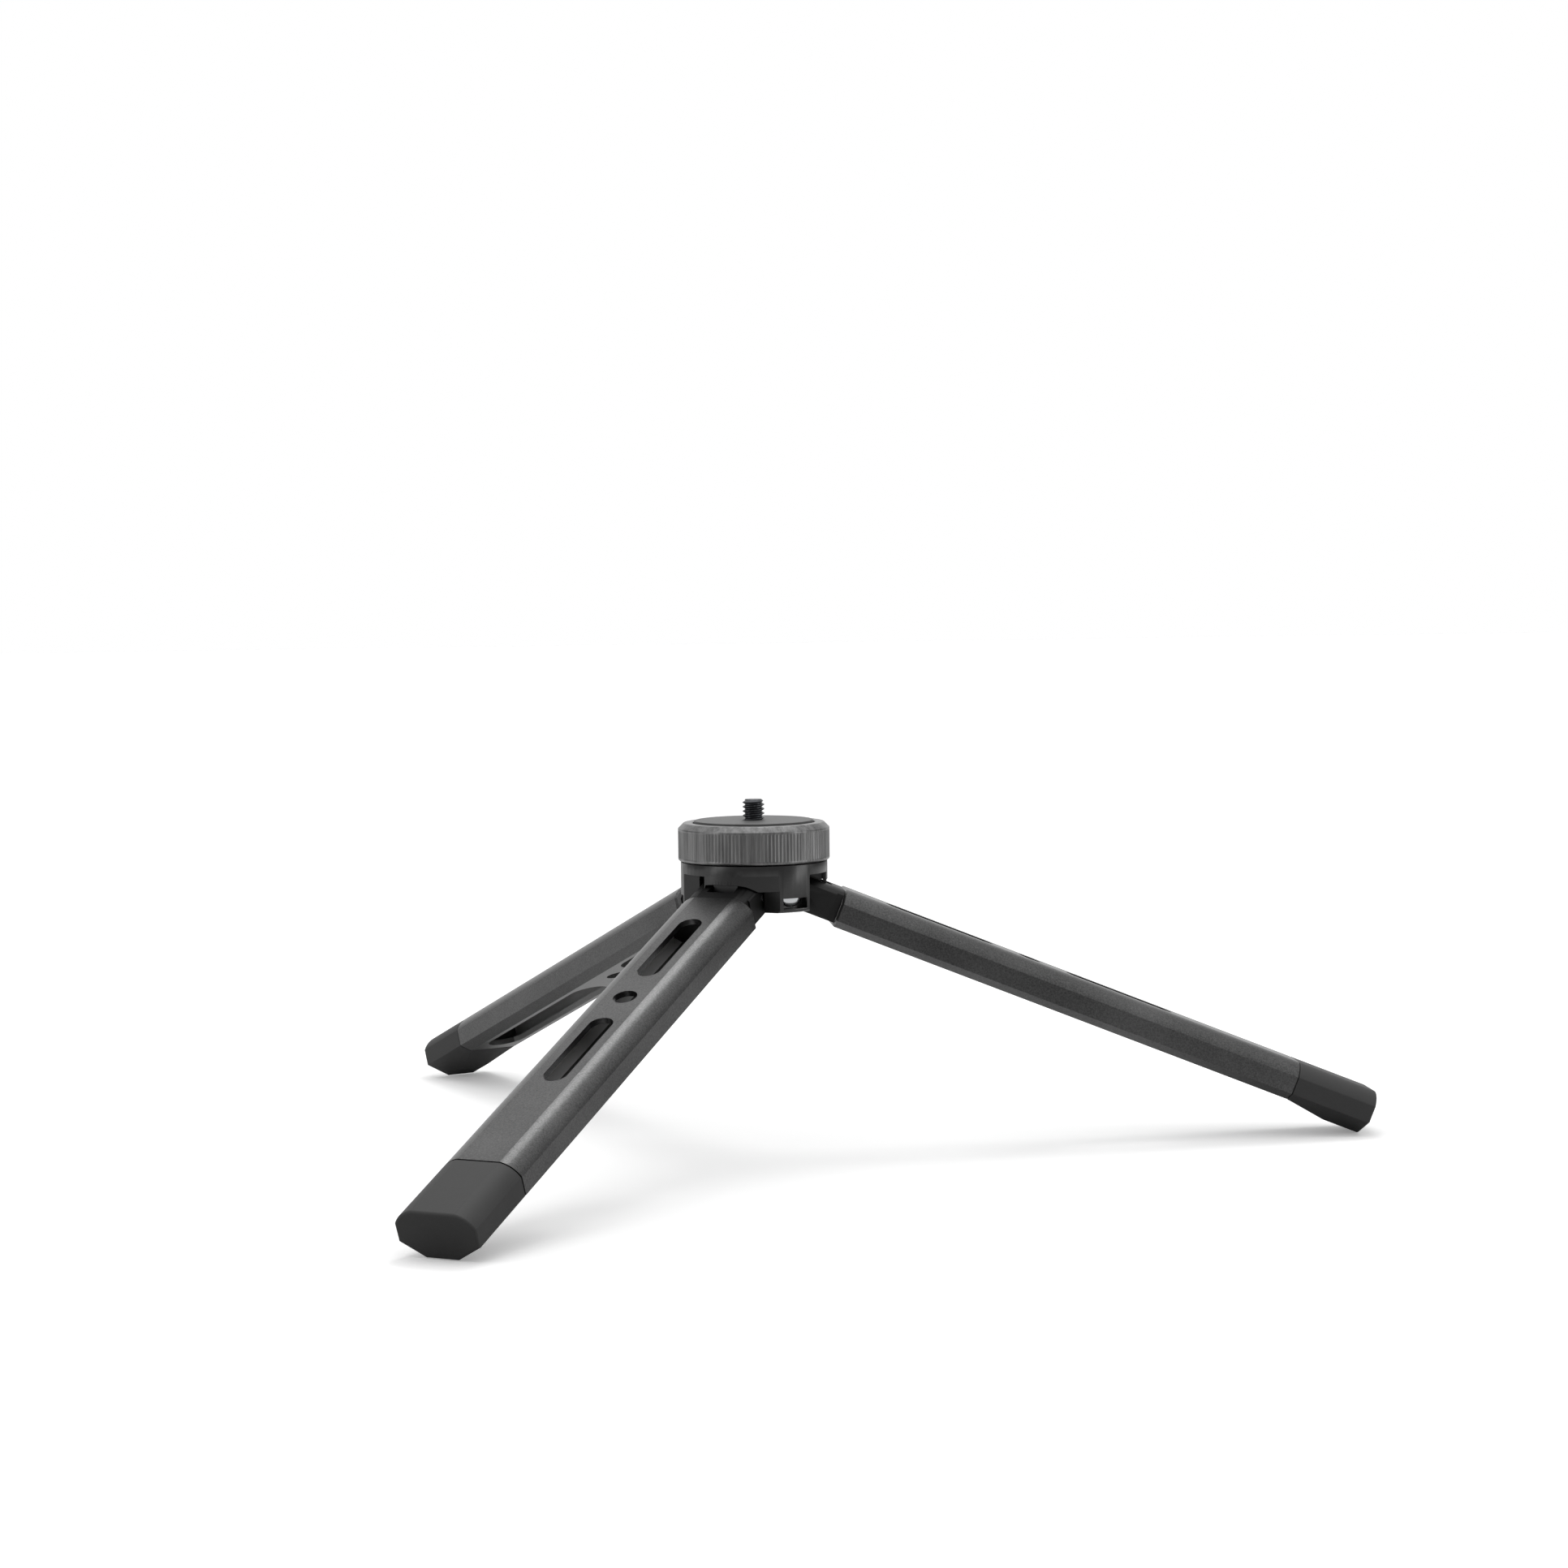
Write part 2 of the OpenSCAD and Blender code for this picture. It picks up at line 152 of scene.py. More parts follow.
def finishMesh(piece, bevel=0.25, segments=2, bevelAngle=25, sharpAngle=40, crease=None):
    # crease is (y, z) in mm of a fine edge along x that has to stay crisp
    if bevel:
        tool = piece.modifiers.new("edge", "BEVEL")
        tool.width = bevel / 1000
        tool.segments = segments
        tool.limit_method = "ANGLE"
        tool.angle_limit = math.radians(bevelAngle)
        tool.use_clamp_overlap = True
        applyModifiers(piece)
    mesh = piece.data
    mesh.shade_smooth()
    mesh.set_sharp_from_angle(angle=math.radians(sharpAngle))
    if crease:
        y, z = metres(*crease)
        onCrease = [abs(abs(v.co.y) - y) < 2e-5 and abs(v.co.z - z) < 2e-5 for v in mesh.vertices]
        for edge in mesh.edges:
            if onCrease[edge.vertices[0]] and onCrease[edge.vertices[1]]:
                edge.use_edge_sharp = True
    even = piece.modifiers.new("even", "WEIGHTED_NORMAL")
    even.keep_sharp = True
    even.weight = 60
    applyModifiers(piece)


def place(piece, matrix):
    piece.data.transform(matrix)
    piece.data.update()


def stadium(start, length, width, low, high, steps=28):
    # a cutter with round ends, along x
    r = width / 2
    outline = []
    for centre, first in ((start + length - r, -90), (start + r, 90)):
        for k in range(steps + 1):
            angle = math.radians(first + 180 * k / steps)
            outline.append((centre + r * math.cos(angle), r * math.sin(angle)))
    return loft("cutter", [[(x, y, z) for x, y in outline] for z in (low, high)])


def dress(piece, body, nodes, material):
    piece.data.materials.clear()
    piece.data.materials.append(material)
    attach(piece, body)
    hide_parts(*nodes)
    return piece


# materials

def srgb(hexColour):
    parts = [int(hexColour[k:k + 2], 16) / 255 for k in (1, 3, 5)]
    return tuple(c / 12.92 if c <= 0.04045 else ((c + 0.055) / 1.055) ** 2.4 for c in parts) + (1,)


def addNode(material, kind, settings=(), links=()):
    # settings are (name or number, value) on the node or its inputs; links are (input, from node, output)
    tree = material.node_tree
    node = tree.nodes.new(kind)
    for name, value in settings:
        if isinstance(name, int) or name in node.inputs:
            node.inputs[name].default_value = value
        else:
            setattr(node, name, value)
    for target, source, output in links:
        tree.links.new(source.outputs[output], node.inputs[target])
    return node


def startMaterial(name, shaderSettings):
    material = bpy.data.materials.new(name)
    material.use_nodes = True
    material.node_tree.nodes.clear()
    shader = addNode(material, "ShaderNodeBsdfPrincipled", shaderSettings)
    addNode(material, "ShaderNodeOutputMaterial", (), [("Surface", shader, "BSDF")])
    return material, shader


def perMillimetre(size):
    # texture scale for features of that size in mm, on coordinates in metres
    return 1000 / size


def link(material, source, output, target, socket):
    material.node_tree.links.new(source.outputs[output], target.inputs[socket])


def grainMaterial(name, look):
    # grit or moulded grain, with a slow tone change over the part
    material, shader = startMaterial(name, [
        ("Metallic", look["metallic"]), ("Roughness", look["roughness"])])
    place = addNode(material, "ShaderNodeTexCoord")
    if "drawn" in look:
        # the pattern is drawn out along the axis
        place = addNode(material, "ShaderNodeMapping", [("Scale", (1, 1, look["drawn"]))],
                        [("Vector", place, "Object")])
    source = "Vector" if "drawn" in look else "Object"
    grit = addNode(material, "ShaderNodeTexNoise",
                   [("Scale", perMillimetre(look["gritMm"])), ("Detail", 2.0), ("Roughness", 0.6)],
                   [("Vector", place, source)])
    patch = addNode(material, "ShaderNodeTexNoise",
                    [("Scale", perMillimetre(look["patchMm"])), ("Detail", 3.0)],
                    [("Vector", place, source)])
    tone = addNode(material, "ShaderNodeMix", [("data_type", "RGBA")])
    tone.inputs["A"].default_value = srgb(look["dark"])
    tone.inputs["B"].default_value = srgb(look["light"])
    blend = addNode(material, "ShaderNodeMath", [("operation", "MULTIPLY_ADD")])
    blend.inputs[1].default_value = look["speckle"]
    link(material, grit, "Fac", blend, 0)
    link(material, patch, "Fac", blend, 2)
    spread = addNode(material, "ShaderNodeMapRange",
                     [("From Min", 0.3 + 0.3 * look["speckle"]), ("From Max", 0.7 + 0.7 * look["speckle"])],
                     [("Value", blend, "Value")])
    link(material, spread, "Result", tone, "Factor")
    link(material, tone, "Result", shader, "Base Color")
    rough = addNode(material, "ShaderNodeMapRange",
                    [("To Min", look["roughness"] - look["roughSpread"]),
                     ("To Max", look["roughness"] + look["roughSpread"])],
                    [("Value", patch, "Fac")])
    link(material, rough, "Result", shader, "Roughness")
    if "inside" in look:
        # faces marked as inside have the paler, less metallic skin of the raw extrusion; part of that
        # paleness is painted light, standing in for the light that falls in through the slots
        mark = addNode(material, "ShaderNodeAttribute", [("attribute_name", "inside")])
        metal = addNode(material, "ShaderNodeMath", [("operation", "MULTIPLY_ADD"), (2, 1.0)])
        metal.inputs[1].default_value = -look["insideDust"]
        link(material, mark, "Fac", metal, 0)
        link(material, metal, "Value", shader, "Metallic")
        skin = addNode(material, "ShaderNodeMix", [("data_type", "RGBA")])
        skin.inputs["B"].default_value = srgb(look["inside"])
        link(material, tone, "Result", skin, "A")
        link(material, mark, "Fac", skin, "Factor")
        link(material, skin, "Result", shader, "Base Color")
        dull = addNode(material, "ShaderNodeMath", [("operation", "MULTIPLY_ADD")])
        dull.inputs[1].default_value = look["insideDuller"]
        link(material, mark, "Fac", dull, 0)
        link(material, rough, "Result", dull, 2)
        link(material, dull, "Value", shader, "Roughness")
    bump = addNode(material, "ShaderNodeBump",
                   [("Strength", look["bump"]), ("Distance", look["bumpMm"] / 1000)],
                   [("Height", grit, "Fac")])
    link(material, bump, "Normal", shader, "Normal")
    return material


# bead-blasted aluminium, anodised dark grey: an even satin sheen with a fine sparkle of grit
tubeLook = {"metallic": 1.0, "roughness": 0.34, "roughSpread": 0.04, "dark": "#444444", "light": "#707070",
            "gritMm": 0.45, "patchMm": 30, "speckle": 1.4, "bump": 0.4, "bumpMm": 0.05,
            # the inside colour is partly the raw skin and partly painted light, so that the tube's inside
            # looks lit through its slots
            "inside": "#b4b4b4", "insideDuller": 0.25, "insideDust": 0.85}
tubeMetal = grainMaterial("bead blasted grey anodised aluminium", tubeLook)

# turned aluminium, anodised black: darker and a little smoother, so that its edges glint
hubLook = {"metallic": 1.0, "roughness": 0.36, "roughSpread": 0.04, "dark": "#484848", "light": "#545454",
           "gritMm": 0.25, "patchMm": 14, "speckle": 0.4, "bump": 0.2, "bumpMm": 0.02}
hubMetal = grainMaterial("satin black anodised aluminium", hubLook)

# knurled aluminium, anodised black: painted highlights, uneven light streaks drawn out along the axis in the
# colour, stand in for the knurl's tips catching the light
ringLook = {"metallic": 1.0, "roughness": 0.4, "roughSpread": 0.06, "dark": "#5a5a5a", "light": "#9c9c9c",
            "gritMm": 0.7, "patchMm": 2.2, "speckle": 0.5, "bump": 0.2, "bumpMm": 0.03, "drawn": 0.06}
ringMetal = grainMaterial("knurled black anodised aluminium", ringLook)

# machined and blasted blocks, dyed deep black: nearly no sheen
blockLook = {"metallic": 1.0, "roughness": 0.5, "roughSpread": 0.04, "dark": "#343434", "light": "#3e3e3e",
             "gritMm": 0.25, "patchMm": 10, "speckle": 0.4, "bump": 0.25, "bumpMm": 0.02}
blockMetal = grainMaterial("matt black anodised aluminium", blockLook)

# moulded rubber with a fine spark-eroded grain: dull, with soft dark edges
footLook = {"metallic": 0.0, "roughness": 0.62, "roughSpread": 0.05, "dark": "#363636", "light": "#404040",
            "gritMm": 0.45, "patchMm": 12, "speckle": 0.35, "bump": 0.4, "bumpMm": 0.04}
footRubber = grainMaterial("grained black rubber", footLook)

# smooth moulded rubber disc: darker than the metal round it, with a faint dusty bloom
padLook = {"metallic": 0.0, "roughness": 0.55, "roughSpread": 0.06, "dark": "#545454", "light": "#646464",
           "gritMm": 0.35, "patchMm": 8, "speckle": 0.3, "bump": 0.25, "bumpMm": 0.03}
padRubber = grainMaterial("smooth black rubber", padLook)

# ground and polished steel pins and screw heads: bright, with tight reflections
steelLook = {"metallic": 1.0, "roughness": 0.2, "roughSpread": 0.05, "dark": "#dcdee0", "light": "#e8eaec",
             "gritMm": 0.5, "patchMm": 5, "speckle": 0.3, "bump": 0.08, "bumpMm": 0.01}
brightSteel = grainMaterial("polished steel", steelLook)

# rolled steel thread, blackened: dark grey metal with bright crests from wear
screwLook = {"metallic": 1.0, "roughness": 0.34, "roughSpread": 0.06, "dark": "#4d4e51", "light": "#626467",
             "gritMm": 0.4, "patchMm": 3, "speckle": 0.5, "bump": 0.15, "bumpMm": 0.01}
darkSteel = grainMaterial("blackened steel", screwLook)
print("stage: materials made")


# the leg's section, in mm: y across the leg, z out of its outer flat, which is at flatToPin

legSize = {
    "width": 23.2, "thickness": 11.3, "flatWidth": 12.2, "shoulderDrop": 4.0, "shoulderSlope": 10,
    "sideHeight": 5.2, "wedgeSlope": 31, "flatToPin": 5.2, "wall": 1.7,
    "blockReach": 11.0, "tubeLength": 143.6,  # from the pin to the tube, and the tube
}


def legSection(x, inset=0.0, depth=legSize["thickness"], arcSteps=12):
    half = legSize["width"] / 2
    flat = legSize["flatWidth"] / 2
    drop = legSize["shoulderDrop"]
    slope = math.radians(legSize["shoulderSlope"])
    wedge = math.radians(legSize["wedgeSlope"])
    chord = math.atan2(drop, half - flat)
    radius = math.hypot(half - flat, drop) / (2 * math.sin(chord - slope))
    centreY = flat - radius * math.sin(slope)
    centreZ = -radius * math.cos(slope)
    inner = radius - inset
    first = math.acos((-inset - centreZ) / inner)
    last = math.asin((half - inset - centreY) / inner)
    side = []
    for k in range(arcSteps + 1):
        angle = first + (last - first) * k / arcSteps
        side.append((centreY + inner * math.sin(angle), centreZ + inner * math.cos(angle)))
    sideEnd = -drop - legSize["sideHeight"]
    side.append((half - inset, sideEnd + inset * (1 - math.sin(wedge)) / math.cos(wedge)))
    sole = half - (depth + sideEnd) / math.tan(wedge)
    side.append((sole - inset * (1 - math.cos(wedge)) / math.sin(wedge), inset - depth))
    loop = side + [(-y, z) for y, z in reversed(side)]
    return [(x, y, z + legSize["flatToPin"]) for y, z in loop]


legCrease = (legSize["flatWidth"] / 2, legSize["flatToPin"])


# leg tubes

tubeSize = {
    "mouthBevel": 0.6, "slotWidth": 7.0, "slotLength": 33.6, "slotStart": 13.5, "hole": 6.8, "holeWeb": 8.3,
    "windowWidth": 12.4, "windowALength": 37.4, "windowBLength": 68.0, "windowAWeb": 5.0, "windowBWeb": 9.2,
    "edge": 0.22, "innerFlat": 0.15,  # how much of the pale inside skin, with its painted light, the inner flats show
}


# the mask of the pale inside skin with its painted light: full on the side walls, a little on the inner flats
def markPaleInsideWithPaintedLight(tube):
    # a face is inside if its middle lies deeper than half the wall below the outline
    edge = legSection(0, legSize["wall"] / 2, arcSteps=4)
    loop = [(y, z) for x, y, z in edge]
    mark = tube.data.attributes.new("inside", "FLOAT", "FACE")
    for face in tube.data.polygons:
        y, z = face.center.y * 1000, face.center.z * 1000
        within = False
        for (y0, z0), (y1, z1) in zip(loop, loop[1:] + loop[:1]):
            if (z0 > z) != (z1 > z) and y < y0 + (z - z0) * (y1 - y0) / (z1 - z0):
                within = not within
        sideWall = abs(y) > legSize["width"] / 2 - legSize["wall"] - legSize["sideHeight"]
        mark.data[face.index].value = (1.0 if sideWall else tubeSize["innerFlat"]) if within else 0.0


def makeTube(number):
    start = legSize["blockReach"]
    end = start + legSize["tubeLength"]
    bevel = tubeSize["mouthBevel"]
    wall = legSize["wall"]
    rings = [legSection(start, bevel), legSection(start + bevel), legSection(end),
             legSection(end, wall), legSection(start, wall)]
    tube = loft(f"legTube{number}", rings, closed=True)
    top = legSize["flatToPin"]
    bottom = top - legSize["thickness"]
    slotA = start + tubeSize["slotStart"]
    hole = slotA + tubeSize["slotLength"] + tubeSize["holeWeb"] + tubeSize["hole"] / 2
    reach = tubeSize["hole"] / 2
    slotB = hole + reach + tubeSize["holeWeb"]
    windowA = hole - reach - tubeSize["windowAWeb"] - tubeSize["windowALength"]
    windowB = hole + reach + tubeSize["windowBWeb"]
    cutters = [stadium(x, tubeSize["slotLength"], tubeSize["slotWidth"], top - wall - 1, top + 1)
               for x in (slotA, slotB)]
    cutters.append(stadium(windowA, tubeSize["windowALength"], tubeSize["windowWidth"],
                           bottom - 1, bottom + wall + 1))
    cutters.append(stadium(windowB, tubeSize["windowBLength"], tubeSize["windowWidth"],
                           bottom - 1, bottom + wall + 1))
    cutters.append(stadium(hole - reach, tubeSize["hole"] + 1e-4, tubeSize["hole"], bottom - 1, top + 1))
    cutAway(tube, cutters)
    finishMesh(tube, tubeSize["edge"], crease=legCrease)
    markPaleInsideWithPaintedLight(tube)
    place(tube, legMatrix(number))
    return dress(tube, f"leg_{number}", [f"leg_tube_{number}"], tubeMetal)


for number in legNumbers:
    makeTube(number)
print("stage: leg tubes made")


# foot caps

footSize = {
    "length": 25.0, "drop": 2.1, "flare": 13.4, "round": 0.8, "roundSteps": 4, "edge": 0.3,
    "seam": 0.3, "seamDepth": 0.5, "lip": 0.2, "lipInset": 0.15,  # dark joint to the tube, and its soft lip
}


def makeFoot(number):
    start = legSize["blockReach"] + legSize["tubeLength"]
    end = start + footSize["length"]
    thickness = legSize["thickness"]

    def depthAt(x):
        share = min(1, max(0, (x - start) / footSize["flare"]))
        return thickness + footSize["drop"] * share

    seam = start + footSize["seam"]
    rings = [legSection(start, footSize["seamDepth"]), legSection(seam, footSize["seamDepth"]),
             legSection(seam, footSize["lipInset"], depthAt(seam)),
             legSection(seam + footSize["lip"], 0, depthAt(seam + footSize["lip"])),
             legSection(start + footSize["flare"], 0, depthAt(end))]
    for k in range(footSize["roundSteps"] + 1):
        angle = math.radians(90 * k / footSize["roundSteps"])
        x = end - footSize["round"] * (1 - math.sin(angle))
        inset = footSize["round"] * (1 - math.cos(angle))
        rings.append(legSection(x, inset, depthAt(end)))
    foot = loft(f"footCap{number}", rings)
    finishMesh(foot, footSize["edge"], 3, crease=legCrease)
    place(foot, legMatrix(number))
    return dress(foot, f"leg_{number}", [f"foot_cap_{number}"], footRubber)


for number in legNumbers:
    makeFoot(number)
print("stage: foot caps made")


# the turning head

headSize = {
    "ringRadius": 22.0, "ringHeight": 11.0, "chamfer": 1.6, "footChamfer": 0.5, "soft": 0.2, "bore": 3.0,
    "padRadius": 17.3, "padProud": 0.6, "padThickness": 2.0, "padBevel": 0.3, "groove": 0.5,
    "journalRadius": 5.0, "journalBottom": -23.7,
    "knurlPitch": 1.1, "knurlDepth": 0.26, "knurlRunOut": 0.25, "bandLow": 0.9, "bandHigh": 0.5,
}


def makeRing():
    size = headSize
    top = -size["padProud"]
    bottom = top - size["ringHeight"]
    radius = size["ringRadius"]
    teeth = round(2 * math.pi * radius / size["knurlPitch"])
    share = (1.0, 0.35, 0.0, 0.35)  # depth over one tooth, from its valley
    knurlLow = bottom + size["bandLow"]
    knurlHigh = top - size["chamfer"] - size["bandHigh"]

    def knurled(r, z, column):
        if r > radius - 0.01 and knurlLow < z < knurlHigh:
            return r - size["knurlDepth"] * share[column % len(share)]
        return r

    recess = size["padRadius"] + size["groove"]
    floorZ = -size["padThickness"]
    soft = size["soft"]  # small turned radii at the edges
    runOut = size["knurlRunOut"]
    profile = [
        (size["bore"], size["journalBottom"]), (size["journalRadius"], size["journalBottom"]),
        (size["journalRadius"], bottom), (radius - size["footChamfer"], bottom),
        (radius - soft / 2, bottom + size["footChamfer"] - soft),
        (radius, bottom + size["footChamfer"] + soft / 2),
        (radius, knurlLow), (radius, knurlLow + runOut), (radius, knurlHigh - runOut), (radius, knurlHigh),
        (radius, top - size["chamfer"] - soft / 2), (radius - soft / 2, top - size["chamfer"] + soft / 2),
        (radius - size["chamfer"] + soft / 2, top - soft / 2), (radius - size["chamfer"] - soft / 2, top),
        (recess + soft, top), (recess, top - soft), (recess, floorZ), (size["bore"], floorZ),
    ]
    ring = lathe("knurledRing", profile, teeth * len(share), knurled)
    finishMesh(ring, 0)
    return dress(ring, "head", ["knurled_ring"], ringMetal)


def makePad():
    size = headSize
    hole = screwSize["major"] / 2 + 0.02
    bevel = size["padBevel"]
    profile = [(hole, 0), (hole, -size["padThickness"]), (size["padRadius"], -size["padThickness"]),
               (size["padRadius"], -bevel), (size["padRadius"] - 0.3 * bevel, -0.3 * bevel),
               (size["padRadius"] - bevel, 0), (hole, 0)]
    pad = lathe("topPad", profile, 128)
    finishMesh(pad, 0)
    return dress(pad, "head", ["top_pad"], padRubber)


# the 1/4 inch camera screw, with its real thread: 20 turns to the inch

screwSize = {
    "major": 6.35, "pitch": 1.27, "depth": 0.69, "height": 6.0, "bevel": 0.8, "tip": 1.2,
    "shank": 2.6, "buried": 2.5, "crestShare": 0.14, "flankShare": 0.66, "columns": 72, "rowMm": 0.07,
}


def makeCameraScrew():
    size = screwSize
    radius = size["major"] / 2
    columns = size["columns"]

    def threadAt(z, column):
        phase = (z / size["pitch"] - column / columns) % 1
        rise = abs(2 * phase - 1)  # 1 at the root, 0 at the crest
        cut = min(1, max(0, (rise - size["crestShare"]) / size["flankShare"])) * size["depth"]
        tip = max(0, z - (size["height"] - size["bevel"]))
        return min(radius - cut, radius - tip)

    rows = round(size["height"] / size["rowMm"])
    profile = [(size["shank"], -size["buried"])]
    profile += [(radius, size["height"] * row / rows) for row in range(rows + 1)]
    profile.append((size["tip"], size["height"]))
    screw = lathe("cameraScrew", profile, columns,
                  lambda r, z, column: threadAt(z, column) if r > size["shank"] else r)
    finishMesh(screw, 0, sharpAngle=40)
    return dress(screw, "head", ["camera_screw"], darkSteel)


centralSize = {
    "headRadius": 7.0, "headHeight": 2.3, "bevel": 0.5, "socket": 4.0, "socketDepth": 1.4, "edge": 0.15,
    "shank": 2.5, "buried": 2.0,
}


def makeCentralScrew():
    size = centralSize
    top = headSize["journalBottom"]
    bottom = top - size["headHeight"]
    profile = [(size["shank"], top + size["buried"]), (size["shank"], top), (size["headRadius"], top),
               (size["headRadius"], bottom + size["bevel"]), (size["headRadius"] - size["bevel"], bottom)]
    screw = lathe("centralScrew", profile, 96)
    corner = size["socket"] / 2 / math.cos(math.radians(30))
    key = lathe("cutter", [(corner, bottom - 1), (corner, bottom + size["socketDepth"])], 6)
    cutAway(screw, [key])
    finishMesh(screw, size["edge"])
    return dress(screw, "head", ["central_screw"], darkSteel)


makeRing()
makePad()
makeCameraScrew()
makeCentralScrew()
print("stage: head made")


# the hub and the forks keep their CAD form; their edges are softened and their finish is set here

def soften(node, width, sharpAngle=35):
    weld = node.modifiers.new("weld", "WELD")
    weld.merge_threshold = 1e-6
    flat = node.modifiers.new("flat", "DECIMATE")
    flat.decimate_type = "DISSOLVE"
    flat.angle_limit = math.radians(1)
    edge = node.modifiers.new("edge", "BEVEL")
    edge.width = width / 1000
    edge.segments = 2
    edge.limit_method = "ANGLE"
    edge.angle_limit = math.radians(sharpAngle)
    edge.harden_normals = True


def finishNode(name, material, width):
    node = cadNodes[name]
    node.data.materials.clear()
    node.data.materials.append(material)
    if width:
        soften(node, width)


lobeScrewSize = {
    "headRadius": 3.8, "headHeight": 1.7, "rim": 0.9, "rimSide": 0.6, "rimStep": 0.15, "dome": 2.6,
    "seat": 18.2, "axisHeight": -20.2,  # place in the lobe: distance from the hub's axis, and height
    "shank": 1.5, "shankLength": 5.0, "tip": 0.01, "steps": 10, "columns": 64,
}


def makeLobeScrew(number):
    # a low pan head: its polished face is only slightly domed, with a rounded rim
    size = lobeScrewSize
    profile = [(size["shank"], -size["shankLength"]), (size["shank"], 0), (size["headRadius"], 0),
               (size["headRadius"], size["rimSide"])]
    for step in range(size["steps"] + 1):
        share = 1 - step / size["steps"]
        profile.append(((size["headRadius"] - size["rimStep"]) * share + size["tip"],
                        size["headHeight"] - (size["headHeight"] - size["rim"]) * share ** size["dome"]))
    screw = lathe(f"lobeScrew{number}", profile, size["columns"])
    finishMesh(screw, 0, sharpAngle=50)
    place(screw, lobeMatrix(number) @ Matrix.Translation(Vector(metres(size["seat"], 0, size["axisHeight"])))
          @ Matrix.Rotation(math.pi / 2, 4, "Y"))
    return dress(screw, "hub", [f"lug_screw_{number}"], brightSteel)


apronSize = {
    "radius": 21.3, "wall": 1.0, "top": -14.6, "steps": 48,
    # lower edge: distance across the leg, height
    "edge": [(-6.0, -17.5), (-3.85, -17.3), (3.85, -17.3), (5.6, -17.45), (7.4, -17.8), (9.7, -18.9),
             (10.4, -19.2), (15.4, -19.2)],
}


def makeApron(number):
    # the thin wall of the hub that runs on over the fork, with a notch for the leg
    size = apronSize
    edge = size["edge"]
    first, last = (math.asin(point[0] / size["radius"]) for point in (edge[0], edge[-1]))
    turn = math.radians(120 * (number - 1))
    rings = []
    for step in range(size["steps"] + 1):
        angle = first + (last - first) * step / size["steps"]
        across = size["radius"] * math.sin(angle)
        low = edge[-1][1]
        for (t0, z0), (t1, z1) in zip(edge, edge[1:]):
            if t0 <= across <= t1:
                low = z0 + (z1 - z0) * (across - t0) / (t1 - t0)
        ring = []
        for radius, z in ((size["radius"], size["top"]), (size["radius"], low),
                          (size["radius"] - size["wall"], low), (size["radius"] - size["wall"], size["top"])):
            ring.append((radius * math.cos(angle + turn), radius * math.sin(angle + turn), z))
        rings.append(ring)
    apron = loft(f"hubApron{number}", rings)
    finishMesh(apron, 0.12)
    apron.data.materials.append(hubMetal)
    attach(apron, "hub")


for number in legNumbers:
    makeApron(number)
finishNode("hub_body", hubMetal, 0.2)
for number in legNumbers:
    finishNode(f"leg_block_{number}", blockMetal, 0.25)
    finishNode(f"hinge_pin_{number}", brightSteel, 0)
    makeLobeScrew(number)
print("stage: hub and forks dressed")


# camera, at the place and angle the photo was taken from

cameraView = {
    "focalPx": 4233.46, "imagePx": 1932, "sensorMm": 36.0, "distance": 994.65, "height": 170.94,
    "pitch": 0.0655, "pan": 0.0090, "roll": -0.0114, "legTurn": 4.01,
}


def makeCamera():
    view = cameraView
    ground = cadBounds[0][2] * 1000
    forward = Vector((math.sin(view["pan"]) * math.cos(view["pitch"]),
                      math.cos(view["pan"]) * math.cos(view["pitch"]), -math.sin(view["pitch"])))
    right = Vector((math.cos(view["pan"]), -math.sin(view["pan"]), 0))
    up = right.cross(forward)
    c, s = math.cos(view["roll"]), math.sin(view["roll"])
    right, up = c * right + s * up, c * up - s * right
    turn = Matrix.Rotation(math.radians(-view["legTurn"]), 4, "Z")
    axes = Matrix((right, up, -forward)).transposed().to_4x4()
    spot = Matrix.Translation(Vector(metres(0, -view["distance"], view["height"] + ground)))
    data = bpy.data.cameras.new("camera")
    data.sensor_width = view["sensorMm"]
    data.lens = view["focalPx"] * view["sensorMm"] / view["imagePx"]
    data.clip_end = 20
    camera = bpy.data.objects.new("camera", data)
    bpy.context.scene.collection.objects.link(camera)
    camera.matrix_world = turn @ spot @ axes
    bpy.context.scene.camera = camera


makeCamera()


# plain white floor and soft studio light: a softbox high up behind the part, a strip on each side

stageLook = {
    "floorSize": 12.0, "floorGlow": 0.23, "floorBounce": 0.25, "mirrorSpan": (-0.5, 0.3),
    "floorMirrorShade": (0.4, 0.95),  # painted shade: how bright the metal sees the floor in its reflections, darker in front of the part than behind it
    # light from low down, and what is added higher up and behind the part
    "horizon": 0.2, "middle": 0.6, "overhead": 0.35, "backdrop": 0.8,
    "middleSpan": (0.3, 0.75), "overheadSpan": (0.7, 1.0), "backdropSpan": (0.6, 0.92),
    "away": (0.07, 0.997, 0.0),  # the way the camera looks
}
lampTable = [  # name, place in metres, aim, size in metres, power in watts
    ("backSoftbox", (0.15, 0.47, 1.0), (-0.02, -0.04, -0.05), (0.4, 0.4), 2.2),
    ("leftStrip", (-1.1, -0.35, 0.30), (0, 0, -0.03), (0.2, 0.7), 1.4),
    ("rightStrip", (1.05, -0.42, 0.15), (0, 0, -0.03), (0.3, 0.5), 1.6),
]


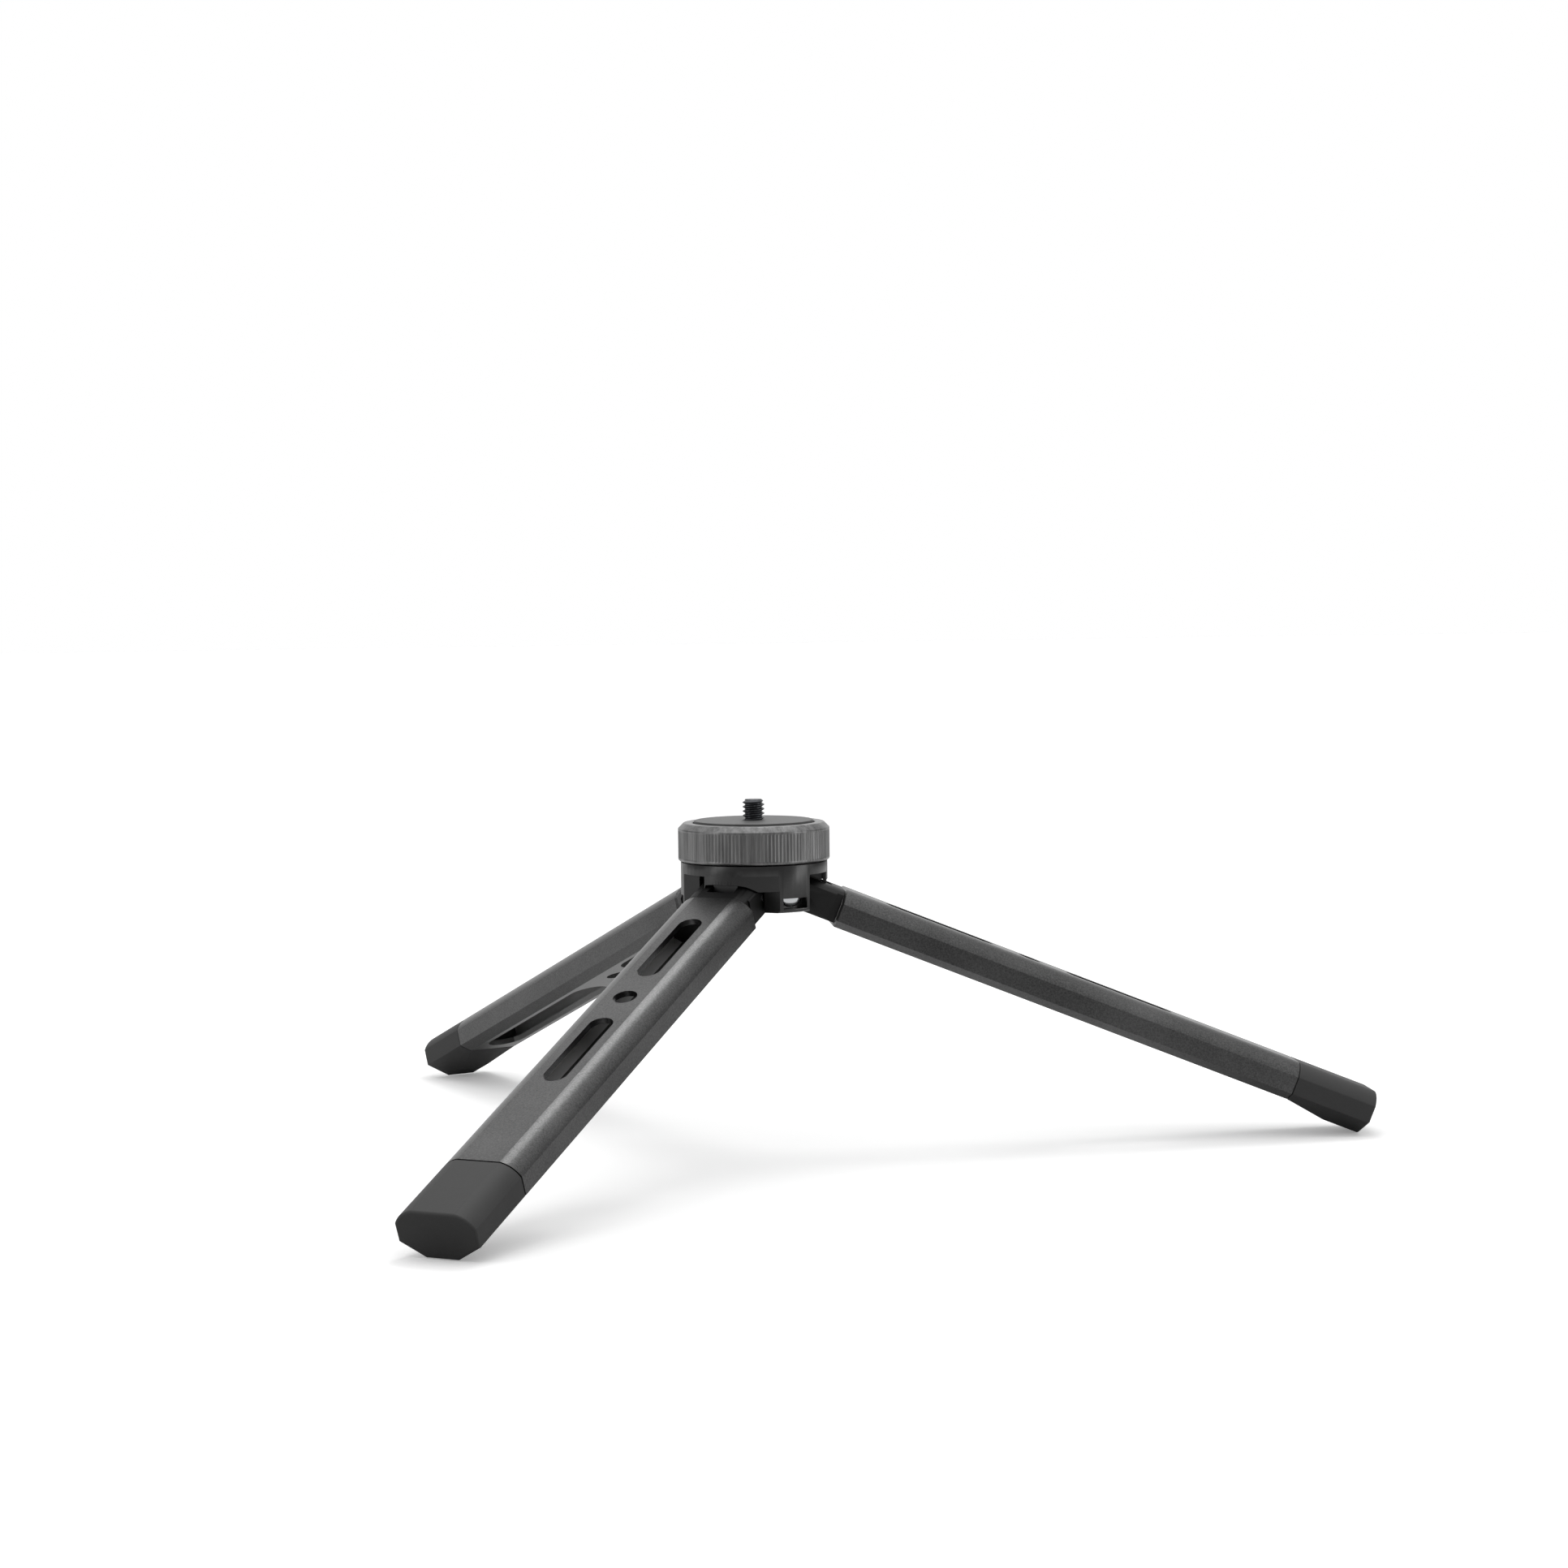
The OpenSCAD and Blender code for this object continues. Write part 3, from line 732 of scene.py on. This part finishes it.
def makeFloor():
    material = bpy.data.materials.new("white sweep")
    material.use_nodes = True
    material.node_tree.nodes.clear()
    path = addNode(material, "ShaderNodeLightPath")
    spot = addNode(material, "ShaderNodeNewGeometry")
    parts = addNode(material, "ShaderNodeSeparateXYZ", (), [("Vector", spot, "Position")])
    near, far = stageLook["floorMirrorShade"]
    # painted shade on the floor, seen only by glossy rays: it grows darker toward the front of the part
    mirrorShade = addNode(material, "ShaderNodeMapRange",
                     [("From Min", stageLook["mirrorSpan"][0]), ("From Max", stageLook["mirrorSpan"][1]),
                      ("To Min", near), ("To Max", far)],
                     [("Value", parts, "Y")])
    shade = addNode(material, "ShaderNodeMix", [("data_type", "FLOAT"), (2, stageLook["floorBounce"])],
                    [(0, path, "Is Glossy Ray"), (3, mirrorShade, "Result")])
    colour = addNode(material, "ShaderNodeMath", [("operation", "MAXIMUM")],
                     [(0, shade, "Result"), (1, path, "Is Camera Ray")])
    matt = addNode(material, "ShaderNodeBsdfDiffuse", (), [("Color", colour, "Value")])
    strength = addNode(material, "ShaderNodeMath", [("operation", "MULTIPLY")], [(0, path, "Is Camera Ray")])
    strength.inputs[1].default_value = stageLook["floorGlow"]
    glow = addNode(material, "ShaderNodeEmission", (), [("Strength", strength, "Value")])
    total = addNode(material, "ShaderNodeAddShader", (), [(0, matt, "BSDF"), (1, glow, "Emission")])
    addNode(material, "ShaderNodeOutputMaterial", (), [("Surface", total, "Shader")])
    half = stageLook["floorSize"] * 500
    z = cadBounds[0][2] * 1000
    corners = [(-half, -half, z), (half, -half, z), (half, half, z), (-half, half, z)]
    floor = newPiece("floor", corners, [(0, 1, 2, 3)])
    floor.data.materials.append(material)


def makeWorld():
    world = bpy.data.worlds.new("studio")
    world.use_nodes = True
    bpy.context.scene.world = world
    world.node_tree.nodes.clear()
    way = addNode(world, "ShaderNodeTexCoord")
    parts = addNode(world, "ShaderNodeSeparateXYZ", (), [("Vector", way, "Generated")])
    away = addNode(world, "ShaderNodeVectorMath", [("operation", "DOT_PRODUCT")], [(0, way, "Generated")])
    away.inputs[1].default_value = stageLook["away"]
    total = addNode(world, "ShaderNodeValue")
    total.outputs[0].default_value = stageLook["horizon"]
    zones = (("middle", parts, "Z"), ("overhead", parts, "Z"), ("backdrop", away, "Value"))
    for part, source, output in zones:
        low, high = stageLook[part + "Span"]
        rise = addNode(world, "ShaderNodeMapRange",
                       [("interpolation_type", "SMOOTHSTEP"), ("From Min", low), ("From Max", high),
                        ("To Max", stageLook[part])], [("Value", source, output)])
        total = addNode(world, "ShaderNodeMath", [("operation", "ADD")],
                        [(0, total, "Value"), (1, rise, "Result")])
    lit = addNode(world, "ShaderNodeBackground", (), [("Strength", total, "Value")])
    white = addNode(world, "ShaderNodeBackground", [("Strength", 1.0)])
    for background in (lit, white):
        background.inputs["Color"].default_value = (1, 1, 1, 1)
    path = addNode(world, "ShaderNodeLightPath")
    both = addNode(world, "ShaderNodeMixShader", (),
                   [(0, path, "Is Camera Ray"), (1, lit, "Background"), (2, white, "Background")])
    addNode(world, "ShaderNodeOutputWorld", (), [("Surface", both, "Shader")])


def makeLamps():
    for name, spot, aim, size, power in lampTable:
        data = bpy.data.lights.new(name, "AREA")
        data.shape = "RECTANGLE"
        data.size, data.size_y = size
        data.energy = power
        lamp = bpy.data.objects.new(name, data)
        bpy.context.scene.collection.objects.link(lamp)
        lamp.location = spot
        lamp.rotation_euler = (Vector(aim) - Vector(spot)).to_track_quat("-Z", "Y").to_euler()


makeFloor()
makeWorld()
makeLamps()
bpy.context.scene.view_settings.view_transform = "Standard"
print("stage: floor, light and camera ready")
